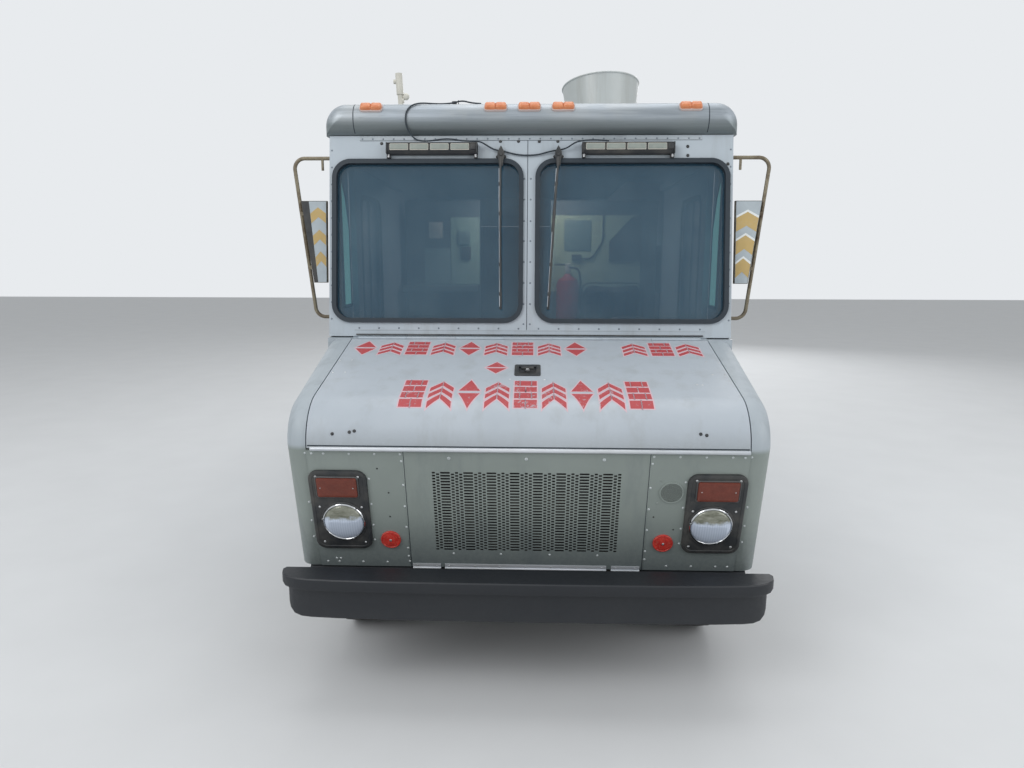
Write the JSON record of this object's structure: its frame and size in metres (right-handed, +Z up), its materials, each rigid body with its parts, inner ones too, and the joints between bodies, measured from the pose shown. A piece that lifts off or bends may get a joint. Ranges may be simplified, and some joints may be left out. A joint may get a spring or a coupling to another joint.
{
  "type": "food truck",
  "caption": "Walk-in food truck with a sloped nose, split windshield, sliding cab doors, serving hatch, double rear doors and a roof fan on a ladder chassis.",
  "frame": {"origin": "on the ground, in the middle of the overall length and width", "axes": "the front faces -Y, +X is the driver side on the left of the vehicle, +Z is up"},
  "size_m": [2.5638, 6.5, 3.3584],
  "materials": {
    "black_steel": "worn black paint",
    "tyre_rubber": "dusty rubber",
    "wheel_paint": "dusty white paint",
    "engine_iron": "oily grey",
    "exhaust_steel": "rusty",
    "body_paint": "chalky off-white paint",
    "nose_paint": "weathered grey-white paint",
    "roof_aluminium": "streaky bare metal",
    "floor_plate": "worn plate",
    "glazing": "tinted",
    "gasket_rubber": "dull black",
    "black_plastic": "charcoal",
    "lamp_lens": "clear amber and white",
    "tail_lens": "red",
    "mirror_steel": "worn tube",
    "fan_metal": "dull grey",
    "stainless": "brushed",
    "radiator_black": "matt black",
    "pipe_plastic": "pale",
    "seat_frame": "black",
    "seat_vinyl": "black vinyl"
  },
  "bodies": {
    "truck": {"chassis_frame": "black_steel", "dashboard": "black_plastic", "drive_shaft": "black_steel", "driver_seat": "seat_frame", "engine": "engine_iron", "engine_cover": "black_plastic", "exhaust": "exhaust_steel", "exhaust_fan": "fan_metal", "fenders": "nose_paint", "floor": "floor_plate", "front_axle": "black_steel", "front_bumper": "black_steel", "front_lamps": "lamp_lens", "front_panel": "nose_paint", "fuel_tank": "black_steel", "galley_counters": "stainless", "grille": "nose_paint", "headlamp_bezels": "black_plastic", "lamp_bars": "black_plastic", "leaf_springs": "black_steel", "marker_lamps": "lamp_lens", "mirrors": "mirror_steel", "radiator": "radiator_black", "range_hood": "stainless", "rear_axle": "black_steel", "rear_bumper": "black_steel", "rear_wall": "body_paint", "roof": "roof_aluminium", "roof_cable": "black_plastic", "roof_cap": "roof_aluminium", "roof_pipe": "pipe_plastic", "seat_cushions": "seat_vinyl", "side_wall_left": "body_paint", "side_wall_right": "body_paint", "steering_wheel": "black_plastic", "tail_lamps": "tail_lens", "windshield_gaskets": "gasket_rubber", "windshield_glass": "glazing", "windshield_wall": "body_paint", "wipers": "black_plastic"},
    "knuckle_left": {"steering_knuckle_left": "black_steel"},
    "knuckle_right": {"steering_knuckle_right": "black_steel"},
    "tie_rod": {"tie_rod": "black_steel"},
    "wheel_front_left": {"front_wheel_left": "wheel_paint", "front_tyre_left": "tyre_rubber"},
    "wheel_front_right": {"front_wheel_right": "wheel_paint", "front_tyre_right": "tyre_rubber"},
    "wheels_rear_left": {"rear_wheels_left": "wheel_paint", "rear_tyres_left": "tyre_rubber"},
    "wheels_rear_right": {"rear_wheels_right": "wheel_paint", "rear_tyres_right": "tyre_rubber"},
    "cab_door_left": {"cab_door_left": "body_paint"},
    "cab_door_right": {"cab_door_right": "body_paint"},
    "hood": {"hood": "nose_paint", "hood_latch": "black_plastic"},
    "rear_door_left": {"rear_door_left": "body_paint"},
    "rear_door_right": {"rear_door_right": "body_paint"},
    "serving_flap": {"serving_flap": "body_paint"},
    "serving_shelf": {"serving_shelf": "roof_aluminium"}
  },
  "joints": [
    {"name": "steer_left", "type": "hinge", "parent": "truck", "child": "knuckle_left", "pos_m": [0.715, -2.44, 0.375], "axis": [0, 0, 1], "range_deg": [-30, 30]},
    {"name": "steer_right", "type": "hinge", "parent": "truck", "child": "knuckle_right", "pos_m": [-0.715, -2.44, 0.375], "axis": [0, 0, 1], "range_deg": [-30, 30]},
    {"name": "tie_rod_pivot", "type": "hinge", "parent": "knuckle_left", "child": "tie_rod", "pos_m": [0.715, -2.28, 0.281], "axis": [0, 0, 1], "range_deg": [-30, 30]},
    {"name": "wheel_spin_front_left", "type": "hinge", "parent": "knuckle_left", "child": "wheel_front_left", "pos_m": [0.84, -2.44, 0.375], "axis": [1, 0, 0], "continuous": true},
    {"name": "wheel_spin_front_right", "type": "hinge", "parent": "knuckle_right", "child": "wheel_front_right", "pos_m": [-0.84, -2.44, 0.375], "axis": [1, 0, 0], "continuous": true},
    {"name": "wheel_spin_rear_left", "type": "hinge", "parent": "truck", "child": "wheels_rear_left", "pos_m": [0.795, 1.55, 0.375], "axis": [1, 0, 0], "continuous": true},
    {"name": "wheel_spin_rear_right", "type": "hinge", "parent": "truck", "child": "wheels_rear_right", "pos_m": [-0.795, 1.55, 0.375], "axis": [1, 0, 0], "continuous": true},
    {"name": "cab_door_slide_left", "type": "slide", "parent": "truck", "child": "cab_door_left", "axis": [0, 1, 0], "range_m": [0, 0.73]},
    {"name": "cab_door_slide_right", "type": "slide", "parent": "truck", "child": "cab_door_right", "axis": [0, 1, 0], "range_m": [0, 0.73]},
    {"name": "hood_hinge", "type": "hinge", "parent": "truck", "child": "hood", "pos_m": [0, -2.295, 1.49281], "axis": [-1, 0, 0], "range_deg": [0, 60]},
    {"name": "rear_door_hinge_left", "type": "hinge", "parent": "truck", "child": "rear_door_left", "pos_m": [0.687, 3.138, 1.545], "axis": [0, 0, -1], "range_deg": [0, 160]},
    {"name": "rear_door_hinge_right", "type": "hinge", "parent": "truck", "child": "rear_door_right", "pos_m": [-0.687, 3.138, 1.545], "axis": [0, 0, 1], "range_deg": [0, 160]},
    {"name": "serving_flap_hinge", "type": "hinge", "parent": "truck", "child": "serving_flap", "pos_m": [-1.081, 0.73, 2.147], "axis": [0, 1, 0], "range_deg": [0, 90]},
    {"name": "serving_shelf_hinge", "type": "hinge", "parent": "truck", "child": "serving_shelf", "pos_m": [-1.081, 0.73, 1.254], "axis": [0, 1, 0], "range_deg": [0, 90]}
  ],
  "couplings": [
    {"joint": "steer_right", "follows": "steer_left", "ratio": 1},
    {"joint": "tie_rod_pivot", "follows": "steer_left", "ratio": -1}
  ]
}
